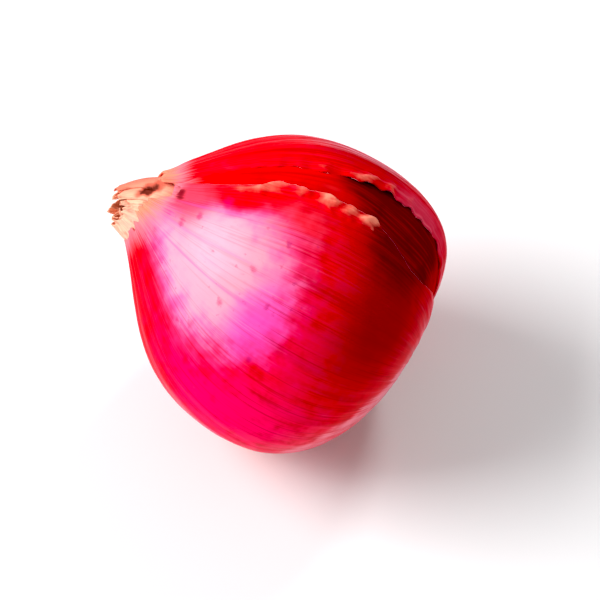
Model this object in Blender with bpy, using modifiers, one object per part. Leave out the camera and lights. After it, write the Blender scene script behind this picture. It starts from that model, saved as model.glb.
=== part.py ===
"""A small red onion lying on its side, in metres, +Z up.

The bulb's own axis runs from its roots to its neck and leans up towards -X. The local frame of every
piece has +Z along that axis, towards the neck, and +X on the side that faces up. Theta is the angle
along a meridian, 0 at the roots and pi at the neck. The origin is the middle of the small flat spot
that the onion rests on.
"""

import math

import bmesh
import bpy
from mathutils import Vector

# Bulb, with heights and radii of its meridian as shares of the bulb's radius
BULB_RADIUS = 0.0174
ROOT_DEPTH = 0.78
ROOT_SQUARENESS = 0.87
NECK_RISE = 0.50
NECK_SHARPNESS = 6
BULB_TOP = 1.115
BULB_BASE = -0.755
OVAL = 0.010
OVAL_TURN = math.radians(35)
NECK_LEAN = 0.17
NECK_LEAN_AT = math.radians(60)
NECK_LEAN_FROM = 0.55
BULB_COLUMNS = 56
BULB_RINGS = 26

# Swellings, each with its theta and azimuth, its width and how far it stands out
SWELLINGS = (
    (math.radians(44), math.radians(45), math.radians(28), 0.0016),
    (math.radians(130), math.radians(70), math.radians(34), 0.0006),
    (math.radians(95), math.radians(-60), math.radians(45), 0.0003),
)

# Long hollow in the bulb below the split in its skin
HOLLOW_DEPTH = 0.0007
HOLLOW_AT = math.radians(15)
HOLLOW_WIDTH = math.radians(15)

# Resting pose
AXIS_LEAN = math.radians(26.7)
CENTRE = Vector((0.0013, 0.0004, 0.0174))

# Dry outer skin
JOINT_GAP = 0.0003
SKIN_THICKNESS = 0.0006
SKIN_FROM = math.radians(17)
SKIN_TO = math.radians(166)
RIM_WAVE = math.radians(1.3)
SKIN_COLUMNS = 76
SKIN_ROWS = 24
SPLIT_AT = math.radians(19)
SPLIT_HALF = math.radians(12.5)
SPLIT_NARROWEST = math.radians(3.2)
TEAR_DEPTH = 0.0003
CURL = 0.0007
CURL_WIDTH = 0.0011
RIBS = 19
RIB_HEIGHT = 0.00022

# Dry neck
NECK_BASE_RADIUS = 0.0038
NECK_WAIST_RADIUS = 0.0026
NECK_CORE_HEIGHT = 0.0032
NECK_CORE_COLUMNS = 24
NECK_SLANT = 0.0005
STRIP_THICKNESS = 0.0006
STRIP_COLUMNS = 4
STRIP_ROWS = 6
STRIP_TWIST = math.radians(16)
STRIP_TAPER = 0.45
STRIP_TORN = 0.2

# Each whorl of dried leaf bases: its strips, their foot radius, tip radius, half width and foot height,
# their mean length and how much it varies
OUTER_WHORL = (7, 0.0034, 0.0027, 0.0013, 0.0005, 0.0039, 0.0004)
INNER_WHORL = (4, 0.0017, 0.0013, 0.0009, 0.0015, 0.0029, 0.0005)

# Roots
PLATE_RADIUS = 0.0036
PLATE_THICKNESS = 0.0010
PLATE_COLUMNS = 24
ROOTS = 28
ROOT_SPREAD = 0.78
ROOT_RADIUS = 0.00036
ROOT_TIP_SHARE = 0.5
ROOT_LENGTH = 0.0030
ROOT_LENGTH_VARIES = 0.3
ROOT_WAVE = 0.5
ROOT_DROOP = 1.0
ROOT_DROOP_AT = math.radians(150)
ROOT_POINTS = 5
GOLDEN_ANGLE = math.pi * (3 - math.sqrt(5))

# Base colour and roughness of each piece
FINISHES = {
    "bulb": ((0.42, 0.006, 0.030), 0.28),
    "outer_skin": ((0.66, 0.015, 0.11), 0.38),
    "dry_neck": ((0.66, 0.38, 0.19), 0.75),
    "root_tuft": ((0.50, 0.23, 0.08), 0.85),
}


def turn_from(azimuth, middle):
    """Angle from middle to azimuth, between -pi and pi."""
    return (azimuth - middle + math.pi) % (2 * math.pi) - math.pi


def profile(theta):
    """Meridian in shares of the bulb's radius, as distance from the axis and height: a flattened,
    squarish half circle below the waist, and above it a round one that is drawn up to the neck."""
    if theta < math.pi / 2:
        radius = math.sin(theta) ** ROOT_SQUARENESS
        return radius, -ROOT_DEPTH * math.cos(theta) ** ROOT_SQUARENESS
    share = (theta - math.pi / 2) / (math.pi / 2)
    return math.sin(theta), -math.cos(theta) + NECK_RISE * share**NECK_SHARPNESS


def outward(theta):
    """Unit normal of the meridian, as radial and axial parts."""
    step = 1e-4
    before = profile(max(theta - step, 0))
    after = profile(min(theta + step, math.pi))
    across, along = after[0] - before[0], after[1] - before[1]
    length = math.hypot(across, along)
    return along / length, -across / length


def neck_axis(height):
    """Point on the bulb's axis at this height, which bends sideways near the neck. In metres."""
    share = max(0.0, height / BULB_RADIUS - NECK_LEAN_FROM)
    lean = NECK_LEAN * share**2 * BULB_RADIUS
    return Vector((lean * math.cos(NECK_LEAN_AT), lean * math.sin(NECK_LEAN_AT), height))


def swelling(theta, azimuth):
    """How far the bulb stands out from its meridian: its swellings less the long hollow."""
    hollow = math.exp(-((turn_from(azimuth, HOLLOW_AT) / HOLLOW_WIDTH) ** 2))
    out = -HOLLOW_DEPTH * hollow * math.sin(theta) ** 2
    for at, turn, width, height in SWELLINGS:
        near = math.cos(theta) * math.cos(at)
        near += math.sin(theta) * math.sin(at) * math.cos(azimuth - turn)
        apart = math.acos(max(-1.0, min(1.0, near)))
        out += height * math.exp(-((apart / width) ** 2))
    return out


def surface(theta, azimuth, lift=0.0):
    """Point lift metres out from the bulb: the meridian, drawn into an oval, swollen, and set round
    the bent axis."""
    radius, height = profile(theta)
    out_radial, out_axial = outward(theta)
    oval = 1 + OVAL * math.cos(2 * (azimuth - OVAL_TURN))
    out = lift + swelling(theta, azimuth)
    radial = radius * oval * BULB_RADIUS + out * out_radial
    axial = height * BULB_RADIUS + out * out_axial
    around = Vector((radial * math.cos(azimuth), radial * math.sin(azimuth), 0))
    return neck_axis(axial) + around


def pressed(point, level):
    """The point, raised to level metres above the surface that the onion rests on if it is lower."""
    up = Vector((math.cos(AXIS_LEAN), 0, math.sin(AXIS_LEAN)))
    height = CENTRE.z + point.dot(up)
    return point + up * max(0.0, level - height)


def rib(theta, azimuth):
    """Height of the veins that run from roots to neck, neither quite evenly spaced nor equally high."""
    wander = 0.30 * math.sin(3 * azimuth + 1.0) + 0.18 * math.sin(5 * azimuth + 2.4)
    strength = 0.7 + 0.3 * math.sin(2 * azimuth + 0.6)
    wave = 0.5 + 0.5 * math.cos(RIBS * azimuth + wander)
    return RIB_HEIGHT * strength * wave * math.sqrt(math.sin(theta))


def tear(theta, phase):
    """Sideways wander of a torn edge in metres: three waves of unlike length."""
    waves = math.sin(9 * theta + phase) + 0.6 * math.sin(21 * theta + 2 * phase)
    return TEAR_DEPTH * (waves + 0.4 * math.sin(37 * theta + 3 * phase))


def skin_edges(theta):
    """Azimuths between which the skin lies at this theta, once round. The split that they leave is
    widest near the bulb's waist and narrow at both ends."""
    radius = profile(theta)[0] * BULB_RADIUS
    share = math.sin(math.pi * (theta - SKIN_FROM) / (SKIN_TO - SKIN_FROM))
    half = SPLIT_NARROWEST + (SPLIT_HALF - SPLIT_NARROWEST) * max(0.0, share) ** 0.8
    freedom = (half - SPLIT_NARROWEST) / (SPLIT_HALF - SPLIT_NARROWEST)
    first = SPLIT_AT + half + freedom * tear(theta, 0.4) / radius
    last = SPLIT_AT - half + 2 * math.pi + freedom * tear(theta, 1.9) / radius
    return first, last


def shade_smooth(obj, angle=50):
    """Smooth shading, with edges sharper than angle kept sharp."""
    obj.data.shade_smooth()
    obj.data.set_sharp_from_angle(angle=math.radians(angle))


def material(name):
    """Principled material with the piece's own colour and roughness."""
    colour, roughness = FINISHES[name]
    made = bpy.data.materials.new(name)
    made.use_nodes = True
    shader = made.node_tree.nodes["Principled BSDF"]
    shader.inputs["Base Color"].default_value = (*colour, 1)
    shader.inputs["Roughness"].default_value = roughness
    shader.inputs["Metallic"].default_value = 0
    return made


def object_from(bm, name, collection):
    """Object in the collection that holds this bmesh."""
    mesh = bpy.data.meshes.new(name)
    bm.to_mesh(mesh)
    bm.free()
    obj = bpy.data.objects.new(name, mesh)
    collection.objects.link(obj)
    return obj


def new_collection(name):
    """A new collection in the scene."""
    made = bpy.data.collections.new(name)
    bpy.context.scene.collection.children.link(made)
    return made


def applied(source, collection):
    """The object's evaluated mesh as a new object of the same name. The source is removed."""
    name = source.name
    bpy.context.view_layer.update()
    graph = bpy.context.evaluated_depsgraph_get()
    mesh = bpy.data.meshes.new_from_object(source.evaluated_get(graph))
    place = source.matrix_world.copy()
    bpy.data.objects.remove(source)
    bm = bmesh.new()
    bm.from_mesh(mesh)
    bmesh.ops.remove_doubles(bm, verts=bm.verts, dist=0.000001)
    bmesh.ops.recalc_face_normals(bm, faces=bm.faces)
    result = object_from(bm, name, collection)
    result.matrix_world = place
    return result


def turned(name, outline, columns, collection):
    """A turned solid from an outline of (radius, height) points that runs down its outer side."""
    mesh = bpy.data.meshes.new(name)
    points = [(radius, 0, height) for radius, height in outline]
    mesh.from_pydata(points, [(i, i + 1) for i in range(len(points) - 1)], [])
    blank = bpy.data.objects.new(name, mesh)
    collection.objects.link(blank)
    screw = blank.modifiers.new("turn", "SCREW")
    screw.steps = screw.render_steps = columns
    screw.use_merge_vertices = True
    screw.merge_threshold = 0.00001
    return applied(blank, collection)


def fused(core, collection, parts, axis):
    """The core with every object of the collection joined to it by one union, as a part that rides on
    the axis. The collection is removed."""
    name = core.name
    join = core.modifiers.new("join", "BOOLEAN")
    join.operation = "UNION"
    join.operand_type = "COLLECTION"
    join.collection = collection
    join.solver = "MANIFOLD"
    whole = applied(core, parts)
    for piece in list(collection.objects):
        bpy.data.objects.remove(piece)
    bpy.data.collections.remove(collection)
    whole.parent = axis
    whole.data.materials.append(material(name))
    shade_smooth(whole, 40)
    return whole


def cut_flat(bm, height, outwards):
    """Cuts the mesh across the axis at this height, takes away what is beyond it and closes it."""
    cut = bmesh.ops.bisect_plane(
        bm,
        geom=[*bm.verts, *bm.edges, *bm.faces],
        plane_co=(0, 0, height),
        plane_no=(0, 0, outwards),
        clear_outer=True,
    )
    rim = [piece for piece in cut["geom_cut"] if isinstance(piece, bmesh.types.BMEdge)]
    bmesh.ops.contextual_create(bm, geom=rim)


def make_bulb(parts, axis):
    """The fleshy bulb: a sphere drawn out along its meridians, cut flat for the neck and the roots."""
    level = JOINT_GAP + SKIN_THICKNESS
    bm = bmesh.new()
    bmesh.ops.create_uvsphere(bm, u_segments=BULB_COLUMNS, v_segments=BULB_RINGS, radius=1)
    for vertex in bm.verts:
        theta = math.acos(max(-1.0, min(1.0, -vertex.co.z)))
        point = surface(theta, math.atan2(vertex.co.y, vertex.co.x))
        vertex.co = pressed(point, level)
    cut_flat(bm, BULB_TOP * BULB_RADIUS, 1)
    cut_flat(bm, BULB_BASE * BULB_RADIUS, -1)
    bmesh.ops.recalc_face_normals(bm, faces=bm.faces)
    bulb = object_from(bm, "bulb", parts)
    bulb.parent = axis
    bulb.data.materials.append(material("bulb"))
    shade_smooth(bulb)


def make_skin(parts, axis):
    """The dry outer skin: a sheet wrapped once round the bulb, split along one side with torn edges
    that curl up, and pressed flat where the onion rests."""
    bm = bmesh.new()
    bmesh.ops.create_grid(bm, x_segments=SKIN_COLUMNS, y_segments=SKIN_ROWS, size=1)
    for vertex in bm.verts:
        across, along = (vertex.co.x + 1) / 2, (vertex.co.y + 1) / 2
        theta = SKIN_FROM + along * (SKIN_TO - SKIN_FROM)
        theta += RIM_WAVE * along**4 * (math.sin(29 * across) + 0.6 * math.sin(53 * across))
        first, last = skin_edges(theta)
        azimuth = first + across * (last - first)
        radius = profile(theta)[0] * BULB_RADIUS
        from_edge = min(across, 1 - across) * (last - first) * radius
        curl = CURL * math.sin(theta) * math.exp(-from_edge / CURL_WIDTH)
        point = surface(theta, azimuth, JOINT_GAP + curl + rib(theta, azimuth))
        vertex.co = pressed(point, SKIN_THICKNESS)
    skin = object_from(bm, "outer_skin", parts)
    skin.parent = axis
    wall = skin.modifiers.new("wall", "SOLIDIFY")
    wall.thickness = SKIN_THICKNESS
    wall.offset = 1
    skin.data.materials.append(material("outer_skin"))
    shade_smooth(skin)


def make_strip(name, turn, whorl, length, collection):
    """One dried leaf base of the neck: a curved blade that hugs the neck and narrows to a torn tip.
    Its foot is sunk in the core."""
    foot_radius, tip_radius, half_width, foot_height = whorl[1:5]
    bm = bmesh.new()
    bmesh.ops.create_grid(bm, x_segments=STRIP_COLUMNS, y_segments=STRIP_ROWS, size=1)
    for vertex in bm.verts:
        across, along = vertex.co.x, (vertex.co.y + 1) / 2
        torn = 1 - STRIP_TORN * (0.5 + 0.5 * math.sin(4.3 * across + 5 * turn))
        height = foot_height + along * length * torn
        radius = foot_radius + (tip_radius - foot_radius) * along**0.7
        width = half_width * (1 - STRIP_TAPER * along**2)
        azimuth = turn + STRIP_TWIST * along + across * width / radius
        vertex.co = (radius * math.cos(azimuth), radius * math.sin(azimuth), height)
    bmesh.ops.recalc_face_normals(bm, faces=bm.faces)
    strip = object_from(bm, name, collection)
    blade = strip.modifiers.new("blade", "SOLIDIFY")
    blade.thickness = STRIP_THICKNESS
    blade.offset = 0


def make_whorl(name, whorl, collection):
    """A ring of dried leaf bases of uneven length, longest on the side that the neck leans to."""
    count, length, varies = whorl[0], whorl[5], whorl[6]
    for i in range(count):
        turn = 2 * math.pi * i / count
        uneven = varies * math.sin(2.4 * i + 0.7) + NECK_SLANT * math.cos(turn - NECK_LEAN_AT)
        make_strip(f"{name}_{i}", turn, whorl, length + uneven, collection)


def make_neck(parts, axis):
    """The dry neck: a short tapering core with a hollow top, and two whorls of torn leaf bases."""
    waist, height = NECK_WAIST_RADIUS, NECK_CORE_HEIGHT
    outline = [
        (0, height * 0.60),
        (waist * 0.50, height * 0.70),
        (waist * 0.82, height),
        (waist, height * 0.86),
        (waist * 1.22, height * 0.48),
        (NECK_BASE_RADIUS * 0.96, height * 0.16),
        (NECK_BASE_RADIUS, 0),
        (0, 0),
    ]
    core = turned("dry_neck", outline, NECK_CORE_COLUMNS, parts)
    strips = new_collection("neck_strips")
    make_whorl("outer_strip", OUTER_WHORL, strips)
    make_whorl("inner_strip", INNER_WHORL, strips)
    neck = fused(core, strips, parts, axis)
    neck.location = neck_axis(BULB_TOP * BULB_RADIUS) + Vector((0, 0, JOINT_GAP))


def make_root(name, place, splay, turn, length, collection):
    """One dried root: a bent, tapering tube that starts inside the root plate. All droop to one side."""
    curve = bpy.data.curves.new(name, "CURVE")
    curve.dimensions = "3D"
    curve.bevel_depth = ROOT_RADIUS
    curve.bevel_resolution = 1
    curve.use_fill_caps = True
    line = curve.splines.new("POLY")
    line.points.add(ROOT_POINTS - 1)
    out = Vector((math.cos(turn), math.sin(turn), 0))
    aside = Vector((-math.sin(turn), math.cos(turn), 0))
    droop = Vector((math.cos(ROOT_DROOP_AT), math.sin(ROOT_DROOP_AT), 0)) * ROOT_DROOP
    heading = out * math.sin(splay) + droop - Vector((0, 0, math.cos(splay)))
    heading.normalize()
    point = Vector(place)
    for i in range(ROOT_POINTS):
        share = i / (ROOT_POINTS - 1)
        line.points[i].co = (*point, 1)
        line.points[i].radius = 1 - (1 - ROOT_TIP_SHARE) * share
        step = heading + aside * ROOT_WAVE * math.sin(3.1 * turn + 4 * share)
        point = point + step.normalized() * length / (ROOT_POINTS - 1)
    source = bpy.data.objects.new(name, curve)
    collection.objects.link(source)
    applied(source, collection)


def make_roots(parts, axis):
    """The root plate, a low disc, with dried roots set in a sunflower spiral and fused to it."""
    outline = [
        (0, 0),
        (PLATE_RADIUS * 0.96, 0),
        (PLATE_RADIUS, -PLATE_THICKNESS * 0.35),
        (PLATE_RADIUS * 0.82, -PLATE_THICKNESS * 0.85),
        (PLATE_RADIUS * 0.4, -PLATE_THICKNESS),
        (0, -PLATE_THICKNESS),
    ]
    plate = turned("root_tuft", outline, PLATE_COLUMNS, parts)
    roots = new_collection("roots")
    for i in range(ROOTS):
        share = math.sqrt((i + 0.5) / ROOTS)
        turn = i * GOLDEN_ANGLE
        away = PLATE_RADIUS * ROOT_SPREAD * share
        place = (away * math.cos(turn), away * math.sin(turn), -PLATE_THICKNESS * 0.45)
        splay = math.radians(10 + 34 * share + 8 * math.sin(2.7 * i))
        length = ROOT_LENGTH * (1 + ROOT_LENGTH_VARIES * math.sin(5.3 * i + 1.2))
        make_root(f"root_{i}", place, splay, turn, length, roots)
    tuft = fused(plate, roots, parts, axis)
    tuft.location = Vector((0, 0, BULB_BASE * BULB_RADIUS - JOINT_GAP))


def main():
    for obj in list(bpy.data.objects):
        bpy.data.objects.remove(obj)
    parts = new_collection("red_onion")
    axis = bpy.data.objects.new("bulb_axis", None)
    axis.location = CENTRE
    axis.rotation_euler = (0, AXIS_LEAN - math.pi / 2, 0)
    parts.objects.link(axis)
    make_bulb(parts, axis)
    make_skin(parts, axis)
    make_neck(parts, axis)
    make_roots(parts, axis)


main()
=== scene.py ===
"""The looks of a small red onion lying on its side: its living scale, its dry magenta skin with a long
split, its frayed neck, its roots, the floor, the light and the camera. Lengths are in metres."""

import math

import bpy
import numpy as np
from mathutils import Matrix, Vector


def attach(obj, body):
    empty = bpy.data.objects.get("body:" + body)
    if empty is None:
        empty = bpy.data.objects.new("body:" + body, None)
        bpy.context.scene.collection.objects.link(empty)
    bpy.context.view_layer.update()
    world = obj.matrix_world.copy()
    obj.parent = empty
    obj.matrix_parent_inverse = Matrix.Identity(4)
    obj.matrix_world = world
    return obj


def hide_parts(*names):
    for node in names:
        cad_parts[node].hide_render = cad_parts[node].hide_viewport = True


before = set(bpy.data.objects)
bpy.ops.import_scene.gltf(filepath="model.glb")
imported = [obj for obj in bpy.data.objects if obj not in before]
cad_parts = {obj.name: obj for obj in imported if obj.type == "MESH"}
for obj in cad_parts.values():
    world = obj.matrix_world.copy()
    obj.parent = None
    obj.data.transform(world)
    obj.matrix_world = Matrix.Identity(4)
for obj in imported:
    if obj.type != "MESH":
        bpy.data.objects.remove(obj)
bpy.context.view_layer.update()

MM = 0.001
TAU = 2 * math.pi

# Bulb, with the meridian's heights and radii as shares of the bulb's radius, as the solids have it
BULB_RADIUS = 17.4 * MM
ROOT_DEPTH = 0.78
ROOT_SQUARENESS = 0.87
NECK_RISE = 0.50
NECK_SHARPNESS = 6
BULB_TOP = 1.115
BULB_BASE = -0.755
OVAL = 0.010
OVAL_TURN = math.radians(35)
NECK_LEAN = 0.17
NECK_LEAN_AT = math.radians(60)
NECK_LEAN_FROM = 0.55
SWELLINGS = (
    (math.radians(44), math.radians(45), math.radians(28), 1.6 * MM),
    (math.radians(130), math.radians(70), math.radians(34), 0.6 * MM),
    (math.radians(95), math.radians(-60), math.radians(45), 0.3 * MM),
)
HOLLOW_DEPTH = 0.7 * MM
HOLLOW_AT = math.radians(15)
HOLLOW_WIDTH = math.radians(15)
AXIS_LEAN = math.radians(26.7)
CENTRE = np.array((1.3, 0.4, 17.4)) * MM
REST_EASING = 0.12 * MM

# Dry outer skin
SKIN_LIFT = 0.88 * MM
SKIN_WALL = 0.16 * MM
SKIN_FROM = math.radians(17)
SKIN_TO = math.radians(166)
SKIN_COLUMNS = 290
SKIN_ROWS = 165
EDGE_CROWDING = 0.72
# Torn strips at its ends: how far they reach, and the power of the height by which they set in
NECK_REACH = math.radians(6)
FOOT_REACH = math.radians(4.5)
END_SHARPNESS = 9
# Notch where the split meets the neck
NOTCH_AT = math.radians(1)
NOTCH_WIDTH = math.radians(14)
NOTCH_DEPTH = math.radians(9)
# Its relief
RIBS = 19
RIB_HEIGHT = 0.17 * MM
PLEAT_HEIGHT = 0.05 * MM
DENT_HEIGHT = 0.09 * MM
NECK_LOWERING = 0.40 * MM

# Split in the skin: angles from the roots, and the azimuths of its front and back edges there
SPLIT_THETAS = np.radians((17, 40, 58, 72, 88, 98, 108, 124, 140, 155, 172))
SPLIT_FRONT = np.radians((12, 3, -1, 3, 8, 9, 9, 10, 8, 9, 12))
SPLIT_BACK = np.radians((20, 24, 27.5, 27, 24.8, 24, 23.5, 23, 21.5, 18, 16))
FRONT_TEAR = 0.12 * MM
BACK_TEAR = 0.20 * MM
# Back edge: how far it hugs the bulb, curls up and ruffles, and how far in these fade
BACK_HUG = 0.38 * MM
BACK_CURL = 0.24 * MM
BACK_FADE = 1.1 * MM
RUFFLE_HEIGHT = 0.10 * MM
RUFFLE_FADE = 0.9 * MM
# Front edge: its rolled ridge, and the valley behind that
ROLL_BACK = 0.45 * MM
ROLL_HEIGHT = 0.28 * MM
ROLL_WIDTH = 0.40 * MM
VALLEY_BACK = 2.3 * MM
VALLEY_DEPTH = 0.45 * MM
VALLEY_WIDTH = 1.3 * MM
# Beads along the rolled front edge and the back edge: angle from the roots, half length and height
BEADS = (
    (math.radians(148), 1.1 * MM, 0.10 * MM),
    (math.radians(138), 1.2 * MM, 0.18 * MM),
    (math.radians(127.5), 2.0 * MM, 0.46 * MM),
    (math.radians(116), 0.8 * MM, 0.30 * MM),
    (math.radians(105.8), 1.2 * MM, 0.62 * MM),
    (math.radians(97.2), 0.8 * MM, 0.46 * MM),
    (math.radians(89.3), 1.0 * MM, 0.72 * MM),
    (math.radians(81), 0.5 * MM, 0.12 * MM),
)
BACK_BEADS = (
    (math.radians(131.5), 0.8 * MM, 0.14 * MM),
    (math.radians(110), 0.9 * MM, 0.20 * MM),
    (math.radians(94), 1.6 * MM, 0.42 * MM),
    (math.radians(83.5), 0.8 * MM, 0.30 * MM),
    (math.radians(73), 0.8 * MM, 0.22 * MM),
)
FULL_BEAD = 0.52 * MM
# Dent at the root end of the split: depth, then its soft patch
SHADED_DENT = 0.9 * MM
DENT_PATCH = (66, 9, 20, 14)

# Soft patches on the skin by name: angle from the roots, azimuth, half height and half width in
# degrees, and strength
SKIN_PATCHES = {
    # The bloom is partly a painted highlight; core is its whiter painted centre and lilac its painted lower
    # fringe
    "bloom_and_highlight": ((136, -38, 29, 36, 1.12),),
    "highlight_core": ((138, -32, 13, 20, 1.0),),
    "lilac_highlight_foot": ((110, -50, 13, 20, 1.0),),
    "wax": ((44, -62, 34, 50, 1.0),),
    "pink": (
        (102, -92, 38, 28, 0.88),
        (104, -52, 34, 30, 0.45),
        (95, 165, 60, 40, 0.8),
        (80, 90, 45, 22, 0.6),
    ),
    # dusk: painted shade on the far side, away from the key light
    "dusk_shade": ((66, -24, 24, 36, 1.0), (92, 46, 24, 17, 0.8), (122, 24, 16, 16, 0.35)),
    "blush": ((156, -6, 10, 24, 1.0), (113, -9, 16, 14, 0.5), (66, -98, 16, 24, 0.5)),
    # shade: painted shade in the dent at the root end of the split
    "shade": ((71, 2, 22, 18, 1.0),),
    # crease: painted shade in the crease where the split meets the neck
    "crease_shade": ((159.3, -4, 2.4, 11, 1.0),),
}
# Purple mottles: angle from the roots, azimuth, half height and half width, in degrees
MOTTLES = (
    (159, -62.5, 1.9, 4.5),
    (135.5, -76, 1.5, 3.0),
    (130, -70.5, 1.9, 3.0),
    (120.5, -32.5, 1.8, 2.0),
    (125.5, -52.5, 1.6, 2.4),
    (113, -17.5, 1.6, 2.4),
    (110, -42.5, 1.4, 1.8),
    (105.5, -63, 1.8, 2.4),
    (149, -18.5, 1.6, 4.5),
    (154.5, -28, 1.6, 5.0),
    (162.5, -50, 1.3, 4.5),
    (141, -5, 2.6, 5.0),
)
# Pale root end, in degrees from the roots: how far it reaches, and how much further round PALE_AT
PALE_REACH = 27
PALE_FURTHER = 48
PALE_AT = math.radians(-112)
PALE_WIDTH = math.radians(58)
# Brown foot, in degrees from the roots, and the side where the tan starts nearer to the neck
FOOT_TO = 26
LATE_TAN_AT = math.radians(-90)
LATE_TAN_WIDTH = 0.87
LATE_TAN_BY = 6.5

# Living scale below the skin
SCALE_LIFT = 0.30 * MM
SCALE_LEVEL = 0.5 * MM
SCALE_FROM = 0.02
SCALE_TO = math.radians(163)
SCALE_COLUMNS = 260
SCALE_ROWS = 150
SCALE_SEAM = math.radians(197)
SCALE_CROWDING = 0.7
CREST_HEIGHT = 0.42 * MM
CREST_AT = math.radians(17)
CREST_WIDTH = math.radians(9)
SCALE_TOP = (0.6 * MM, 1.0 * MM, 1.08 * BULB_RADIUS)
SCALE_SHADE = ((67, 14, 28, 22, 1.0), (89, 22, 16, 10, 0.8), (161, 5, 3, 9, 1.0))

# Colours of the skin, the scale, the neck and the roots
CRIMSON = (0.79, 0.0015, 0.0100)
DEEP_CRIMSON = (0.50, 0.0004, 0.0040)
# Dark red for the painted shade on the far side
DUSK_SHADE = (0.33, 0.0004, 0.0050)
SCALE_RED = (0.76, 0.0010, 0.0030)
HOT_PINK = (0.97, 0.0060, 0.1050)
# The next three colours paint the bloom's highlight: its magenta fringe, its pale body and its whiter core
MAGENTA = (0.90, 0.0800, 0.3400)
PALE_BLOOM_AND_HIGHLIGHT = (0.90, 0.3150, 0.4200)
WAXY_HIGHLIGHT = (0.94, 0.4400, 0.5600)
PURPLE = (0.45, 0.0050, 0.1200)
# Maroon paints the shade in the dent and in the crease by the neck
MAROON = (0.17, 0.0002, 0.0060)
# Salmon and glint paint the beads' highlights, the salmon also their dry crests
SALMON = (0.98, 0.1700, 0.1200)
GLINT = (1.00, 0.2900, 0.1900)
BLUSH = (0.92, 0.0600, 0.1200)
# Dull pink for the painted rim light along the split's back edge
RIM_LIGHT_PINK = (0.74, 0.0450, 0.1000)
# Lilac paints the lower fringe of the bloom's highlight
LILAC = (0.92, 0.0700, 0.4600)
SCALE_FOOT = (0.72, 0.3000, 0.1800)
ROSE = (0.92, 0.2200, 0.2900)
ROOT_ROSE = (0.97, 0.2800, 0.3600)
TAN = (0.90, 0.2700, 0.1700)
RUST = (0.50, 0.1000, 0.0500)
LEAF_PALE = (0.98, 0.5800, 0.3600)
LEAF_MID = (0.96, 0.3600, 0.2500)
LEAF_DARK = (0.12, 0.0120, 0.0060)
LEAF_ROSE = (0.98, 0.5000, 0.4200)
LEAF_RIPE = (0.90, 0.1300, 0.0800)
ROOT_PALE = (0.72, 0.4000, 0.1500)
ROOT_MID = (0.55, 0.2400, 0.0700)
ROOT_DARK = (0.16, 0.0500, 0.0150)
SHEEN_PINK = (1.00, 0.4000, 0.5000)
FLOOR_GREY = (0.88, 0.88, 0.89)

# Neck. Its heights and radii are in mm above its foot
NECK_HEIGHT = BULB_TOP * BULB_RADIUS + 0.3 * MM
# Whorls of blades: how many, radius at the foot and the tip, half width, foot height, length
WHORLS = ((8, 4.7, 2.45, 2.6, -1.2, 5.4), (7, 3.7, 1.9, 2.2, -0.4, 4.5), (5, 2.5, 1.2, 1.5, 0.4, 3.6))
BLADE_COLUMNS = 25
BLADE_ROWS = 32
BLADE_WALL = 0.12 * MM
NECK_FLOP = (-0.62, -1.15)
FLOP_HEIGHT = 4.6
# Worn pits: azimuth, half width, height, half height, depth
NECK_PITS = (
    (math.radians(8), math.radians(12), 1.9, 0.95, 1.0),
    (math.radians(-24), math.radians(7), 1.1, 0.50, 0.36),
)
ROSY_AT = math.radians(-70)
PLUG_RADIUS = 3.7
PLUG_HEIGHT = 1.7
PLUG_COLUMNS = 40
PLUG_ROWS = 8
# Darkness of the plug, painted as shade
PLUG_SHADE = 0.9

# Roots and their plate
ROOT_HEIGHT = BULB_BASE * BULB_RADIUS - 0.3 * MM
ROOTS = 110
ROOT_STEPS = 14
ROOT_SIDES = 6
ROOT_RADIUS = 0.17 * MM
ROOT_LENGTH = 3.3 * MM
ROOT_SPREAD = 0.88
ROOT_SUNK = 0.4 * MM
DROOP_AT = math.radians(150)
GOLDEN_ANGLE = math.pi * (3 - math.sqrt(5))
PLATE_RADIUS = 3.6 * MM
PLATE_DEPTH = 1.0 * MM
PLATE_COLUMNS = 48
# Darkness of the plate, painted as shade
PLATE_SHADE = 0.35
# Radius and height, as shares of the plate's radius and depth, down its outer side
PLATE_OUTLINE = ((0.02, 0), (0.9, 0), (1.0, -0.2), (1.0, -0.5), (0.85, -0.8), (0.5, -1.0), (0.02, -1.0))

# Camera, at the photograph's viewing angle
CAMERA_AZIMUTH = math.radians(15.7)
CAMERA_ELEVATION = math.radians(55)
CAMERA_LENS = 200
CAMERA_DISTANCE = 390 * MM
AIM_RIGHT = 0.6 * MM
AIM_UP = -0.3 * MM
BLACK_LEVEL = (0.012, 0.012, 0.012)

# Soft lights: direction as right, up and back of the camera, side and power
LIGHTS = {
    "key": ((-0.80, 0.40, 0.45), 0.62, 12.0),
    "rim": ((0.35, 0.90, 0.28), 0.17, 2.4),
    "fill": ((-0.35, -0.75, 0.55), 0.9, 2.6),
}
LIGHT_DISTANCE = 0.9
SKY_STRENGTH = 0.34
FLOOR_HALF = 1.5


def blend(low, high, value):
    """Smooth step: 0 below low, 1 above high, and 3t^2 - 2t^3 between."""
    share = np.clip((value - low) / (high - low), 0, 1)
    return share * share * (3 - 2 * share)


def hump(value, middle, width):
    """Bell curve of height 1 round middle."""
    return np.exp(-(((value - middle) / width) ** 2))


def turn_from(azimuth, middle):
    """Angle from middle to azimuth, between -pi and pi."""
    return (azimuth - middle + math.pi) % TAU - math.pi


def ripple(points, size, seed):
    """Smooth noise of about -1 to 1 at points: the sum of plane waves in random directions, each about
    as long as size, with random phases, over a number that keeps it in that range."""
    waves = 24
    draw = np.random.default_rng(seed)
    ways = draw.normal(size=(waves, points.shape[-1]))
    ways *= TAU / size / np.linalg.norm(ways, axis=1, keepdims=True)
    ways *= draw.uniform(0.6, 1.5, (waves, 1))
    phases = draw.uniform(0, TAU, waves)
    return np.sin(points @ ways.T + phases).sum(-1) / math.sqrt(waves / 2) / 2


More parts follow.
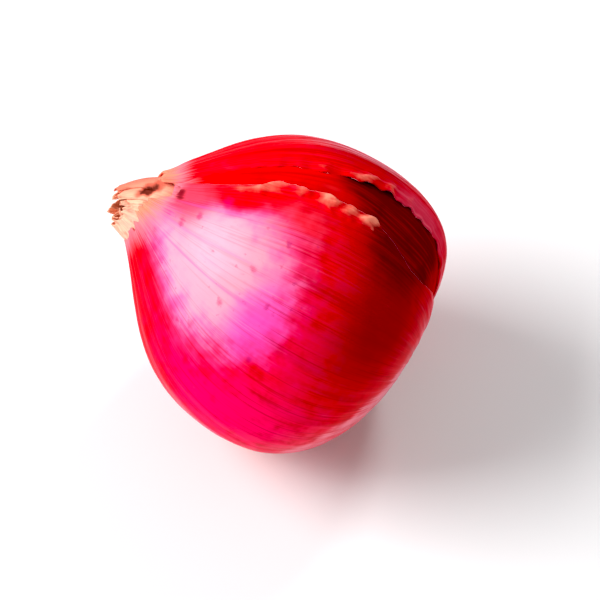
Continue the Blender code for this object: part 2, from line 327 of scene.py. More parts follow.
def profile(theta):
    """Meridian as distance from the axis and height, in shares of the bulb's radius: a flattened,
    squarish half circle below the waist, and above it a round one drawn up to the neck."""
    low = theta < math.pi / 2
    sine = np.clip(np.sin(theta), 0, 1)
    cosine = np.cos(theta)
    radius = np.where(low, sine**ROOT_SQUARENESS, sine)
    share = np.clip(theta - math.pi / 2, 0, None) / (math.pi / 2)
    above = -cosine + NECK_RISE * share**NECK_SHARPNESS
    below = -ROOT_DEPTH * np.clip(cosine, 0, 1) ** ROOT_SQUARENESS
    return radius, np.where(low, below, above)


def outward(theta):
    """Unit normal of the meridian, as radial and axial parts, from two points close by."""
    step = 1e-4
    before = profile(np.maximum(theta - step, 1e-6))
    after = profile(np.minimum(theta + step, math.pi - 1e-6))
    across, along = after[0] - before[0], after[1] - before[1]
    length = np.hypot(across, along)
    return along / length, -across / length


def axis_bend(height):
    """How far the bulb's axis has bent sideways at this height: the square of the height past where
    the bend starts."""
    share = np.maximum(0, height / BULB_RADIUS - NECK_LEAN_FROM)
    return NECK_LEAN * share**2 * BULB_RADIUS


def swelling(theta, azimuth):
    """How far the bulb stands out from its meridian: bell-shaped swellings by the angle from their
    middles, less the long hollow."""
    out = -HOLLOW_DEPTH * hump(turn_from(azimuth, HOLLOW_AT), 0, HOLLOW_WIDTH) * np.sin(theta) ** 2
    for at, turn, width, height in SWELLINGS:
        near = np.cos(theta) * math.cos(at) + np.sin(theta) * math.sin(at) * np.cos(azimuth - turn)
        out = out + height * hump(np.arccos(np.clip(near, -1, 1)), 0, width)
    return out


def surface(theta, azimuth, lift):
    """Points lift out from the bulb, in its own frame: the meridian drawn into an oval, swollen, and
    set round the bent axis."""
    radius, height = profile(theta)
    out_radial, out_axial = outward(theta)
    oval = 1 + OVAL * np.cos(2 * (azimuth - OVAL_TURN))
    out = lift + swelling(theta, azimuth)
    radial = radius * oval * BULB_RADIUS + out * out_radial
    axial = height * BULB_RADIUS + out * out_axial
    bend = axis_bend(axial)
    x = radial * np.cos(azimuth) + bend * math.cos(NECK_LEAN_AT)
    y = radial * np.sin(azimuth) + bend * math.sin(NECK_LEAN_AT)
    return np.stack((x, y, axial), -1)


def in_row(points, level=0.0):
    """Points of the bulb's frame in the row's frame: turned so that the neck leans up towards -X, and
    eased up to level by an exponential where the onion rests."""
    sine, cosine = math.sin(AXIS_LEAN), math.cos(AXIS_LEAN)
    x = points[..., 0] * sine - points[..., 2] * cosine
    z = points[..., 0] * cosine + points[..., 2] * sine
    row = np.stack((x, points[..., 1], z), -1) + CENTRE
    soft = REST_EASING
    over = row[..., 2] - level
    eased = level + soft * np.exp(np.minimum(over, soft) / soft - 1)
    row[..., 2] = np.where(over > soft, level + over, np.maximum(eased - soft * 0.02, level))
    return row


def grid_faces(rows, columns, start=0, wrap=False):
    """Quads of a grid of points that runs row by row. With wrap the last column joins the first."""
    across = np.arange(columns if wrap else columns - 1)
    down = np.arange(rows - 1)[:, None] * columns
    right = (across + 1) % columns
    corners = (down + across, down + right, down + columns + right, down + columns + across)
    return np.stack(corners, -1).reshape(-1, 4) + start


def new_piece(name, points, faces, attributes, material, node):
    """Mesh object from points and quads or triangles, with values at its points for its material.
    It stands for a node of the solids."""
    mesh = bpy.data.meshes.new(name)
    mesh.from_pydata(points.reshape(-1, 3).tolist(), [], [f.tolist() for f in faces])
    for label, values in attributes.items():
        kind = "FLOAT_VECTOR" if values.shape[-1:] == (3,) and values.ndim > 1 else "FLOAT"
        layer = mesh.attributes.new(label, kind, "POINT")
        key = "vector" if kind == "FLOAT_VECTOR" else "value"
        layer.data.foreach_set(key, np.ascontiguousarray(values, np.float32).ravel())
    mesh.shade_smooth()
    mesh.materials.append(material)
    piece = bpy.data.objects.new(name, mesh)
    bpy.context.scene.collection.objects.link(piece)
    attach(piece, "root")
    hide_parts(node)
    return piece


def add_wall(piece, thickness, offset):
    """Gives a sheet its thickness: offset -1 grows it inwards, and 0 to both sides."""
    wall = piece.modifiers.new("wall", "SOLIDIFY")
    wall.thickness = thickness
    wall.offset = offset


class Value:
    """A shader socket in a sum. Operators add Math nodes to its graph."""

    def __init__(self, graph, socket):
        self.graph = graph
        self.socket = socket

    def maths(self, operation, *values):
        """A Math node on these values."""
        return self.graph.node("ShaderNodeMath", {"operation": operation}, dict(enumerate(values)))

    def __add__(self, other):
        return self.maths("ADD", self, other)

    __radd__ = __add__

    def __sub__(self, other):
        return self.maths("SUBTRACT", self, other)

    def __rsub__(self, other):
        return self.maths("SUBTRACT", other, self)

    def __mul__(self, other):
        return self.maths("MULTIPLY", self, other)

    __rmul__ = __mul__

    def step(self, low, high):
        """0 below low, 1 above high, smooth between. Low may be the larger."""
        settings = {"interpolation_type": "SMOOTHSTEP", "clamp": True}
        inputs = {"Value": self, "From Min": low, "From Max": high}
        return self.graph.node("ShaderNodeMapRange", settings, inputs)


class Graph:
    """A material's nodes, with its Principled shader made ready."""

    def __init__(self, name):
        self.material = bpy.data.materials.new(name)
        self.material.use_nodes = True
        self.tree = self.material.node_tree
        self.shader = self.tree.nodes["Principled BSDF"]

    def put(self, socket, value):
        """Links a Value to a socket, or sets the socket's own value."""
        if isinstance(value, Value):
            self.tree.links.new(value.socket, socket)
        elif isinstance(value, tuple) and len(value) == 3 and socket.type == "RGBA":
            socket.default_value = (*value, 1)
        else:
            socket.default_value = value

    def node(self, kind, settings, inputs, output=0):
        """Any other node: its settings first, then the values or links of its sockets."""
        made = self.tree.nodes.new(kind)
        for key, value in settings.items():
            setattr(made, key, value)
        for key, value in inputs.items():
            self.put(made.inputs[key], value)
        return Value(self, made.outputs[output])

    def attribute(self, name, output="Fac"):
        """A value or vector stored at the piece's points."""
        return self.node("ShaderNodeAttribute", {"attribute_name": name}, {}, output)

    def noise(self, vector, scale, detail, roughness=0.55):
        """Noise read at vector, spread about 0.5."""
        inputs = {"Vector": vector, "Scale": scale, "Detail": detail, "Roughness": roughness}
        return self.node("ShaderNodeTexNoise", {"noise_dimensions": "3D"}, inputs)

    def stretch(self, vector, scale):
        """The vector with each part multiplied by its own scale."""
        return self.node("ShaderNodeVectorMath", {"operation": "MULTIPLY"}, {0: vector, 1: scale})

    def mix(self, first, second, share):
        """The first colour where share is 0 and the second where it is 1."""
        settings = {"data_type": "RGBA", "clamp_factor": True}
        return self.node("ShaderNodeMix", settings, {0: share, 6: first, 7: second}, 2)

    def bump(self, height, distance, strength):
        """The normal of a surface with this small relief."""
        inputs = {"Height": height, "Distance": distance, "Strength": strength}
        return self.node("ShaderNodeBump", {}, inputs)

    def finish(self, **inputs):
        """Sets the Principled shader's sockets, named with _ for each space, and ends the material."""
        for key, value in inputs.items():
            self.put(self.shader.inputs[key.replace("_", " ")], value)
        return self.material


def skin_material():
    """Dry papery skin: crimson and hot pink in broad zones with fine veins from roots to neck, under a
    pale waxy bloom that is partly a painted highlight, with a magenta and lilac fringe of painted
    highlight, purple mottles and freckles, and a painted shade on its far side. The split has a
    painted maroon shade in its dent, a painted rim light of dull pink behind it and salmon beads with
    painted highlights. The ends dry out to rose, rust and tan, with a streaked paling at the roots and
    a painted shade in a dark crease at the neck. Its gloss is a thin coat, and a sheen gives it a
    faint pale rim."""
    g = Graph("magenta_skin")
    grain = g.attribute("grain", "Vector")
    place = g.attribute("place", "Vector")
    bead = g.attribute("bead")
    bloom_and_highlight = g.attribute("bloom_and_highlight")
    mottles = g.attribute("mottles")
    rim = g.attribute("rim")
    paling = g.attribute("paling")
    clouds = g.noise(place, 4.5, 4.0)
    patches = g.noise(place, 9.5, 2.0, 0.5)
    fibres = g.noise(g.stretch(grain, (38.0, 38.0, 2.4)), 1.0, 3.0, 0.6)
    veins = g.noise(g.stretch(grain, (12.0, 12.0, 0.9)), 1.0, 2.0, 0.5)
    lines = g.noise(g.stretch(grain, (70.0, 70.0, 1.6)), 1.0, 1.0, 0.5)
    specks = g.noise(place, 26.0, 2.0, 0.5)
    drift = (clouds - 0.5) * 0.6 + (fibres - 0.5) * 0.3 + (patches - 0.5) * 0.5
    mottle = (patches - 0.5) * 1.3 + (clouds - 0.5) * 0.5 + (fibres - 0.5) * 0.5

    # Broad zones and veins
    colour = g.mix(CRIMSON, DEEP_CRIMSON, veins.step(0.50, 0.75) * 0.6)
    colour = g.mix(colour, BLUSH, (lines * 0.6 + fibres * 0.4).step(0.50, 0.74) * 0.28)
    colour = g.mix(colour, HOT_PINK, (g.attribute("pink") + mottle * 0.6).step(0.05, 0.85))
    colour = g.mix(colour, DEEP_CRIMSON, (mottle + 0.5).step(0.46, 0.16) * 0.38)

    # Bloom, partly real wax and partly a painted highlight, with a painted magenta and lilac fringe and a
    # whiter painted highlight at its core
    colour = g.mix(colour, MAGENTA, (bloom_and_highlight + mottle * 0.18).step(0.10, 0.62))
    colour = g.mix(colour, PALE_BLOOM_AND_HIGHLIGHT, (bloom_and_highlight + mottle * 0.5).step(0.26, 0.88))
    colour = g.mix(colour, WAXY_HIGHLIGHT, (g.attribute("highlight_core") + mottle * 0.6).step(0.20, 1.0) * 0.50)
    colour = g.mix(colour, LILAC, (g.attribute("lilac_highlight_foot") + mottle * 0.6).step(0.25, 1.0) * 0.75)
    colour = g.mix(colour, BLUSH, (g.attribute("blush") + mottle * 0.5).step(0.10, 0.90) * 0.85)
    colour = g.mix(colour, MAGENTA, veins.step(0.54, 0.74) * bloom_and_highlight.step(0.05, 0.5) * 0.45)
    colour = g.mix(colour, PALE_BLOOM_AND_HIGHLIGHT, lines.step(0.58, 0.75) * bloom_and_highlight.step(0.1, 0.6) * 0.30)
    colour = g.mix(colour, DEEP_CRIMSON, lines.step(0.44, 0.30) * (0.15 + bloom_and_highlight.step(0.7, 0.2) * 0.4))

    # Mottles and freckles
    bruise = (mottles + (specks - 0.5) + (fibres - 0.5) * 1.2).step(0.25, 1.1)
    colour = g.mix(colour, PURPLE, bruise * mottles.step(0.05, 0.5) * 0.6)
    freckles = specks.step(0.63, 0.73) * patches.step(0.48, 0.58)
    colour = g.mix(colour, PURPLE, freckles * bloom_and_highlight.step(0.02, 0.3) * 0.35)

    # Painted shade on the far side, painted shade in the dent, and a painted rim light behind the split
    colour = g.mix(colour, DUSK_SHADE, (g.attribute("dusk_shade") + drift * 0.6).step(0.10, 0.95) * 0.85)
    shade = (g.attribute("shade") + (patches - 0.5) * 0.3).step(0.15, 0.8)
    red_lines = (veins * 0.5 + lines * 0.5).step(0.46, 0.66)
    colour = g.mix(colour, MAROON, shade * (1 - red_lines * 0.40))
    # Painted rim light of dull pink, with rose streaks, along the split's back edge
    frayed_rim_light = rim + drift + (fibres - 0.5) * 0.7
    colour = g.mix(colour, RIM_LIGHT_PINK, frayed_rim_light.step(0.10, 1.0) * 0.85)
    colour = g.mix(colour, ROSE, rim * (lines * 0.6 + fibres * 0.4).step(0.50, 0.68) * 0.30)

    # Beads: the salmon of their dry crests is partly a painted highlight, and the glint at their cores is a
    # painted highlight
    crumpled = bead * (1 + (fibres - 0.5) * 1.4 + (specks - 0.5) * 1.2)
    colour = g.mix(colour, SALMON, crumpled.step(0.25, 0.85) * 0.8)
    colour = g.mix(colour, GLINT, crumpled.step(0.70, 1.15) * 0.85)

    # Neck end, in degrees from the roots
    worn = g.attribute("worn") + (fibres - 0.5) * 9 + (clouds - 0.5) * 8
    colour = g.mix(colour, ROSE, worn.step(156, 163) * 0.8)
    colour = g.mix(colour, TAN, worn.step(161, 166))
    colour = g.mix(colour, RUST, worn.step(160, 165) * lines.step(0.50, 0.66) * 0.55)

    # Root end
    streaks = (lines - 0.5) * 1.6 + (veins - 0.5) * 1.6 + (patches - 0.5) * 1.2
    colour = g.mix(colour, BLUSH, (paling + streaks * 0.7).step(0.05, 0.9) * paling.step(0.0, 0.3) * 0.45)
    colour = g.mix(colour, ROOT_ROSE, (paling + streaks).step(0.35, 1.25) * paling.step(0.0, 0.4) * 0.70)
    foot = (FOOT_TO - g.attribute("theta") + (veins - 0.5) * 14 + (clouds - 0.5) * 26).step(0, 14)
    colour = g.mix(colour, RUST, foot * 0.85)
    colour = g.mix(colour, TAN, foot * (lines * 0.5 + clouds * 0.5).step(0.44, 0.64) * 0.45)
    colour = g.mix(colour, LEAF_DARK, foot * (fibres * 0.6 + patches * 0.4).step(0.50, 0.34) * 0.40)
    # Painted shade in the crease where the split meets the neck
    colour = g.mix(colour, MAROON, (g.attribute("crease_shade") + (fibres - 0.5) * 1.4).step(0.35, 1.0) * 0.9)

    dryness = worn.step(160, 165) * 0.25 + foot * 0.2
    coat = bloom_and_highlight.step(0.05, 0.9) * 0.25 + bead.step(0.1, 0.6) * 0.5 + g.attribute("wax") * 0.95
    return g.finish(
        Base_Color=colour,
        Roughness=0.40 + (clouds - 0.5) * 0.14 + (fibres - 0.5) * 0.12 + dryness,
        Normal=g.bump(fibres * 0.4 + veins * 0.3 + lines * 0.3, 0.06 * MM, 0.7),
        Coat_Weight=coat + 0.04,
        Coat_Roughness=0.18,
        Coat_IOR=1.09,
        Sheen_Weight=0.85,
        Sheen_Roughness=0.22,
        Sheen_Tint=SHEEN_PINK,
        Specular_IOR_Level=0.0,
    )


def scale_material():
    """Living scale: bright red with fine veins from roots to neck, under a thin coat. It is painted
    maroon with red lines as shade in the dent and by the neck, tan and rust at its foot, and rose at
    the neck."""
    g = Graph("deep_red_scale")
    grain = g.attribute("grain", "Vector")
    clouds = g.noise(g.attribute("place", "Vector"), 5.0, 3.0)
    veins = g.noise(g.stretch(grain, (30.0, 30.0, 1.2)), 1.0, 2.0, 0.5)
    lines = g.noise(g.stretch(grain, (64.0, 64.0, 1.5)), 1.0, 1.0, 0.5)
    colour = g.mix(SCALE_RED, DEEP_CRIMSON, clouds.step(0.40, 0.70) * 0.5)
    colour = g.mix(colour, DEEP_CRIMSON, veins.step(0.45, 0.72) * 0.6)
    # Painted shade in the dent and by the neck, darker still in blotches
    shade = (g.attribute("shade") + (clouds - 0.5) * 0.3).step(0.1, 0.6)
    red_lines = (veins * 0.5 + lines * 0.5).step(0.46, 0.66)
    colour = g.mix(colour, MAROON, shade * (1 - red_lines * 0.35))
    colour = g.mix(colour, LEAF_DARK, shade * clouds.step(0.50, 0.68) * 0.6)
    foot = (g.attribute("foot") + (veins - 0.5) * 0.5).step(0.3, 0.9)
    colour = g.mix(colour, SCALE_FOOT, foot)
    colour = g.mix(colour, RUST, foot * (veins.step(0.44, 0.62) * 0.55 + clouds.step(0.45, 0.65) * 0.35))
    colour = g.mix(colour, ROSE, (g.attribute("worn") + (veins - 0.5) * 14).step(154, 165) * 0.8)
    return g.finish(
        Base_Color=colour,
        Roughness=0.34 + (clouds - 0.5) * 0.10,
        Normal=g.bump(veins, 0.06 * MM, 0.5),
        Coat_Weight=0.06,
        Coat_Roughness=0.34,
        Specular_IOR_Level=0.0,
    )


def dried_material(name, pale, mid, dark):
    """Dried fibre, streaked along its length, rosy or ripe where its attributes say, darker in
    blotches, and darker with painted shade where it lies deep."""
    g = Graph(name)
    grain = g.attribute("grain", "Vector")
    streaks = g.noise(g.stretch(grain, (9.0, 9.0, 0.8)), 1.0, 3.0, 0.6)
    blotches = g.noise(grain, 1.3, 3.0)
    colour = g.mix(mid, pale, streaks.step(0.38, 0.66))
    colour = g.mix(colour, LEAF_ROSE, g.attribute("rosy") * 0.8)
    colour = g.mix(colour, LEAF_RIPE, (g.attribute("ripe") + (streaks - 0.5) * 0.8).step(0.2, 1.1) * 0.9)
    colour = g.mix(colour, dark, g.attribute("deep_shade") * 0.75 + blotches.step(0.54, 0.74) * 0.45)
    return g.finish(
        Base_Color=colour,
        Roughness=0.62 + (streaks - 0.5) * 0.25,
        Normal=g.bump(streaks, 0.10 * MM, 0.8),
        Specular_IOR_Level=0.15,
    )


def torn(theta, seed, depth):
    """Sideways wander of a torn edge: four waves of unlike length, and small sharp notches from the
    root of a rectified wave."""
    phase = np.random.default_rng(seed).uniform(0, TAU, 5)
    waves = np.sin(9 * theta + phase[0]) + 0.6 * np.sin(21 * theta + phase[1])
    waves = waves + 0.4 * np.sin(37 * theta + phase[2]) + 0.25 * np.sin(83 * theta + phase[3])
    notches = np.abs(np.sin(31 * theta + 3 * np.sin(7 * theta + phase[4]))) ** 0.5
    return depth * (waves + 0.9 * (notches - 0.7))


def smooth_line(value, places, heights):
    """Curve through points: cubic between each two, with the slope at a point that its neighbours
    give."""
    slopes = np.gradient(heights, places)
    i = np.clip(np.searchsorted(places, value) - 1, 0, len(places) - 2)
    span = places[i + 1] - places[i]
    t = np.clip((value - places[i]) / span, 0, 1)
    rise = (2 * t**3 - 3 * t**2 + 1) * heights[i] + (3 * t**2 - 2 * t**3) * heights[i + 1]
    return rise + span * ((t**3 - 2 * t**2 + t) * slopes[i] + (t**3 - t**2) * slopes[i + 1])


def skin_edges(theta):
    """Azimuths between which the skin lies at theta, once round: a smooth curve through the split's
    listed places, with a torn wander that fades at both ends."""
    radius = np.maximum(profile(theta)[0], 0.2) * BULB_RADIUS
    share = blend(20, 45, np.degrees(theta)) * blend(160, 140, np.degrees(theta))
    first = smooth_line(theta, SPLIT_THETAS, SPLIT_BACK) + share * torn(theta, 3, BACK_TEAR) / radius
    last = smooth_line(theta, SPLIT_THETAS, SPLIT_FRONT) + share * torn(theta, 8, FRONT_TEAR) / radius
    return first, last + TAU


def patch(theta, azimuth, at, turn, tall, wide):
    """Soft patch of height 1 on the bulb, round the angle at and the azimuth turn, in degrees."""
    aside = turn_from(azimuth, math.radians(turn)) / math.radians(wide)
    along = (theta - math.radians(at)) / math.radians(tall)
    return np.exp(-(aside**2) - along**2)


def strongest(theta, azimuth, patches):
    """The strongest at each point of several soft patches, each with its strength last."""
    return np.max([row[-1] * patch(theta, azimuth, *row[:-1]) for row in patches], axis=0)


def shaded_dent(theta, azimuth):
    """Depth of the dent at the root end of the split."""
    return SHADED_DENT * patch(theta, azimuth, *DENT_PATCH)


def beads(theta, from_edge, row):
    """Height of a row of beads along an edge: bell-shaped humps a little way in from the tear, each
    made crooked by sines of its place."""
    height = 0 * theta
    for at, half, rise in row:
        side = (theta - at) * BULB_RADIUS / half + 0.3 * np.sin(from_edge / (0.21 * MM) + 40 * at)
        away = (from_edge - (0.62 + 0.14 * math.sin(90 * at)) * MM) / (0.80 * MM)
        height = height + rise * np.exp(-(side**2) - away**2 * (1 + 0.3 * np.sin(5 * side)))
    return height


def ridge(theta, from_edge):
    """Height of the rolled front edge: a rounded ridge a little way in from the tear."""
    reach = blend(70, 88, np.degrees(theta)) * blend(158, 128, np.degrees(theta))
    return ROLL_HEIGHT * reach * hump(from_edge, ROLL_BACK, ROLL_WIDTH)


def torn_tips(across, count, seed):
    """How far torn strips reach, from 0 in the notches to about 1 at their tips: the root of a
    rectified wave whose pace wanders, with fine teeth."""
    draw = np.random.default_rng(seed)
    pace, teeth = draw.uniform(0, TAU, 2)
    tips = np.abs(np.sin(count * across + 2 * np.sin(9 * across + pace))) ** 0.5
    return tips * (0.8 + 0.2 * np.sin(17 * across + pace)) + 0.08 * np.sin(187 * across + teeth)


def unit_sphere(theta, azimuth):
    """Point of the unit sphere at theta from the roots and this azimuth."""
    sine = np.sin(theta)
    return np.stack((sine * np.cos(azimuth), sine * np.sin(azimuth), -np.cos(theta)), -1)


def grain_of(theta, azimuth):
    """Where the veins' pattern is read: round a circle by azimuth, and along by theta."""
    return np.stack((np.cos(azimuth), np.sin(azimuth), theta), -1).reshape(-1, 3)


def skin_grid():
    """How far along the sheet each of the skin's points lies, its theta and azimuth, and its distances
    from the back and front edges. The columns crowd towards the edges by a sine. Torn strips reach up
    the neck and down to the roots, and a notch lowers the sheet where the split meets the neck."""
    s = np.linspace(0, 1, SKIN_COLUMNS)[None, :]
    along = np.linspace(0, 1, SKIN_ROWS)[:, None] + 0 * s
    across = s - EDGE_CROWDING * np.sin(TAU * s) / TAU + 0 * along
    at_neck = along**END_SHARPNESS
    at_foot = (1 - along) ** END_SHARPNESS
    up_neck = (0.55 + 0.45 * np.cos(TAU * across - 4.9)) * torn_tips(across, 23, 2)
    down_foot = 0.4 + 0.6 * torn_tips(across, 31, 5)
    theta = SKIN_FROM + along * (SKIN_TO - SKIN_FROM)
    theta = theta + NECK_REACH * up_neck * at_neck - FOOT_REACH * down_foot * at_foot
    first, last = skin_edges(theta)
    azimuth = first + across * (last - first)
    theta = theta - NOTCH_DEPTH * hump(turn_from(azimuth, NOTCH_AT), 0, NOTCH_WIDTH) * at_neck
    round_here = (last - first) * np.maximum(profile(theta)[0], 0.02) * BULB_RADIUS
    return along, theta, azimuth, across * round_here, (1 - across) * round_here


def skin_relief(along, theta, azimuth):
    """Height of the skin's ribs, finer ribs, pleats at the neck and soft dents. Each set of ribs is a
    cosine of the azimuth that wanders a little; the broad ones are never below 0."""
    sine = np.sin(theta)
    wander = 0.30 * np.sin(3 * azimuth + 1.0) + 0.18 * np.sin(5 * azimuth + 2.4)
    strength = 0.6 + 0.4 * np.sin(2 * azimuth + 0.6)
    broad = RIB_HEIGHT * strength * (0.5 + 0.5 * np.cos(RIBS * azimuth + wander)) * np.sqrt(sine)
    fine = 0.022 * MM * np.cos(57 * azimuth + 2 * wander + 1.5 * np.sin(6 * theta)) * sine
    fine = fine + 0.012 * MM * np.cos(104 * azimuth - 3 * wander + np.sin(9 * theta)) * sine
    pleats = PLEAT_HEIGHT * blend(0.80, 1.0, along) * np.cos(31 * azimuth + 3 * wander)
    unit = unit_sphere(theta, azimuth)
    dents = DENT_HEIGHT * ripple(unit, 0.9, 11) + 0.020 * MM * ripple(unit, 0.22, 12)
    return broad + fine + pleats + dents


def split_relief(theta, from_back, from_front):
    """Height of the skin along the split: the back edge hugs the bulb, curls up a little and ruffles,
    all fading inwards, and a valley lies behind the roll of the front edge."""
    degrees = np.degrees(theta)
    spread = blend(22, 45, degrees) * blend(162, 140, degrees)
    near_back = np.exp(-from_back / BACK_FADE)
    hug = BACK_HUG * blend(14, 24, degrees) * blend(168, 160, degrees) * near_back
    curl = BACK_CURL * hump(degrees, 86, 14) * near_back
    wave = np.sin(47 * theta + 2.0 * np.sin(5 * theta))
    ruffle = RUFFLE_HEIGHT * wave * np.exp(-from_back / RUFFLE_FADE)
    valley = VALLEY_DEPTH * hump(from_front, VALLEY_BACK, VALLEY_WIDTH) * blend(78, 100, degrees)
    return spread * (curl + ruffle - valley) - hug


def skin_attributes(theta, azimuth, from_back, bead):
    """Values at the skin's points for its material: its soft patches, with the bloom and its painted
    highlight cut off at the front edge by a wavy line and the dent's painted shade kept off the back
    edge, and its two worn ends."""
    degrees = np.degrees(theta)
    named = {name: strongest(theta, azimuth, rows) for name, rows in SKIN_PATCHES.items()}
    before_edge = np.degrees(turn_from(azimuth, 0)) + 2.0 * np.sin(14 * theta)
    named["bloom_and_highlight"] = named["bloom_and_highlight"] * blend(3, -14, before_edge)
    named["shade"] = named["shade"] * blend(1.6 * MM, 2.6 * MM, from_back)
    named["mottles"] = sum(patch(theta, azimuth, *mottle) for mottle in MOTTLES)
    named["bead"] = bead / FULL_BEAD
    named["theta"] = degrees
    named["worn"] = degrees - LATE_TAN_BY * hump(turn_from(azimuth, LATE_TAN_AT), 0, LATE_TAN_WIDTH)
    # Where the painted rim light lies along the split's back edge
    named["rim"] = blend(4.2 * MM, 0.8 * MM, from_back) * blend(26, 62, degrees) * blend(94, 66, degrees)
    pale_to = PALE_REACH + PALE_FURTHER * hump(turn_from(azimuth, PALE_AT), 0, PALE_WIDTH)
    fading = 1 - 0.6 * blend(pale_to - 12, pale_to - 34, degrees)
    named["paling"] = blend(pale_to, pale_to - 12, degrees) * fading
    values = {name: value.ravel() for name, value in named.items()}
    values["grain"] = grain_of(theta, azimuth)
    values["place"] = unit_sphere(theta, azimuth).reshape(-1, 3)
    return values


def make_skin():
    """The dry skin: a sheet over azimuth and theta, once round the bulb from torn edge to torn edge,
    lifted by its relief, the rolled front edge and beads, and lowered at the dent and round the
    neck on the side that it leans to."""
    along, theta, azimuth, from_back, from_front = skin_grid()
    leaning = 0.5 + 0.5 * np.cos(azimuth - NECK_LEAN_AT)
    low = NECK_LOWERING * blend(156, 167, np.degrees(theta)) * leaning
    bead = beads(theta, from_front, BEADS) + beads(theta, from_back, BACK_BEADS)
    lift = SKIN_LIFT - low + skin_relief(along, theta, azimuth) + split_relief(theta, from_back, from_front)
    lift = lift + ridge(theta, from_front) + bead - shaded_dent(theta, azimuth)
    points = in_row(surface(theta, azimuth, lift), SKIN_WALL)
    faces = grid_faces(SKIN_ROWS, SKIN_COLUMNS)
    values = skin_attributes(theta, azimuth, from_back, bead)
    skin = new_piece("papery_skin", points, faces, values, skin_material(), "outer_skin")
    add_wall(skin, SKIN_WALL, -1)


def make_scale():
    """The living scale: the bulb's surface over azimuth and theta, closed at both ends by a fan, with
    fine ribs and one low crest along the split. Its columns crowd round the split by a sine."""
    turn = np.linspace(0, TAU, SCALE_COLUMNS, endpoint=False)[None, :]
    theta = np.linspace(SCALE_FROM, SCALE_TO, SCALE_ROWS)[:, None] + 0 * turn
    azimuth = SCALE_SEAM + turn + SCALE_CROWDING * np.sin(turn) + 0 * theta
    degrees = np.degrees(theta)
    unit = unit_sphere(theta, azimuth)
    fine = 0.03 * MM * np.cos(64 * azimuth + np.sin(5 * theta)) * np.sin(theta)
    dents = 0.05 * MM * ripple(unit, 0.5, 21)
    crest = CREST_HEIGHT * hump(turn_from(azimuth, CREST_AT), 0, CREST_WIDTH)
    crest = crest * blend(75, 100, degrees) * blend(163, 155, degrees)
    lift = SCALE_LIFT + fine + dents + crest - shaded_dent(theta, azimuth)
    points = in_row(surface(theta, azimuth, lift), SCALE_LEVEL)
    ends = in_row(np.array(((0, 0, BULB_BASE * BULB_RADIUS), SCALE_TOP)))
    points = np.concatenate((points.reshape(-1, 3), ends))
    faces = list(grid_faces(SCALE_ROWS, SCALE_COLUMNS, wrap=True))
    around = np.arange(SCALE_COLUMNS)
    after = (around + 1) % SCALE_COLUMNS
    count = SCALE_ROWS * SCALE_COLUMNS
    top = count - SCALE_COLUMNS
    faces += list(np.stack((after, around, 0 * around + count), -1))
    faces += list(np.stack((top + around, top + after, 0 * around + count + 1), -1))
    shade = strongest(theta, azimuth, SCALE_SHADE)
    values = {
        "grain": np.concatenate((grain_of(theta, azimuth), ((0, 0, 0), (0, 0, math.pi)))),
        "place": np.concatenate((unit.reshape(-1, 3), ((0, 0, -1), (0, 0, 1)))),
        "shade": np.concatenate((shade.ravel(), (0, 0))),
        "worn": np.concatenate((degrees.ravel(), (0, 180))),
        "foot": np.concatenate((blend(24, 13, degrees).ravel(), (1, 0))),
    }
    new_piece("living_scale", points, faces, values, scale_material(), "bulb")


def worn_pits(azimuth, height):
    """Depth of the neck's worn pits: bell-shaped, slanting with height and a little wavy."""
    pit = 0 * azimuth
    for turn, wide, middle, tall, depth in NECK_PITS:
        slanted = turn - 0.11 * (height - middle) + 0.05 * np.sin(6 * height)
        pit = pit + depth * hump(turn_from(azimuth, slanted), 0, wide) * hump(height, middle, tall)
    return pit


def make_blade(draw, layer, i):
    """One dried blade of the neck: a grid that runs up from the plug, hugs the neck, rolls in at its
    sides, flops over and ends in a torn tip. Gives its points in mm, and where its fibre's pattern
    is read, how much painted shade it has where it lies deep or in a pit, and how rosy and ripe it
    is at each."""
    count, foot_radius, tip_radius, half_width, foot_height, length = WHORLS[layer]
    across = np.linspace(-1, 1, BLADE_COLUMNS)[None, :]
    along = np.linspace(0, 1, BLADE_ROWS)[:, None]
    turn = TAU * (i + 0.37 * layer + draw.uniform(-0.2, 0.2)) / count
    long = length * draw.uniform(0.90, 1.05) + 0.7 * math.cos(turn - NECK_LEAN_AT)
    teeth = np.sin(draw.uniform(2, 5) * across + i)
    teeth = teeth + 0.3 * np.sin(9 * across + 2 * i) * np.sin(4 * across + i)
    notch = 1 - draw.uniform(0.05, 0.17) * (0.6 + 0.5 * teeth)
    flare = draw.uniform(-0.5, 0.35)
    radius = foot_radius + (tip_radius - foot_radius) * along**1.7 + flare * along**3
    radius = radius - 0.45 * across**2 * along + 0.10 * np.sin(7 * along + 3 * across + i)
    width = half_width * draw.uniform(0.88, 1.15) * (1 - 0.22 * along**2)
    twist = 0.25 * along + draw.uniform(-0.2, 0.2) * along**2
    azimuth = turn + twist + across * width / foot_radius
    height = foot_height + along * long * notch
    pit = worn_pits(azimuth, height)
    radius = radius - 0.6 * pit
    flop = (np.maximum(height, 0) / FLOP_HEIGHT) ** 1.4
    x = radius * np.cos(azimuth) + NECK_FLOP[0] * flop
    y = radius * np.sin(azimuth) + NECK_FLOP[1] * flop
    grain = np.stack(np.broadcast_arrays(1.5 * across, draw.uniform(0, 50), 3 * along), -1)
    # Painted shade: inner whorls, the blade's foot and its pits are darker
    deep_shade = 0.05 * layer + 0.15 * (1 - along) ** 2 + 1.2 * blend(0.30, 0.55, pit)
    rosy = hump(turn_from(azimuth, ROSY_AT), 0, 0.9) * (1 - 0.7 * along)
    upper = hump(turn_from(azimuth, NECK_LEAN_AT), 0, 1.0)
    ripe = np.maximum(upper, 0.25 * along**3) + 0.6 * blend(0.05, 0.3, pit)
    return np.stack((x, y, height), -1), grain, deep_shade, rosy, ripe


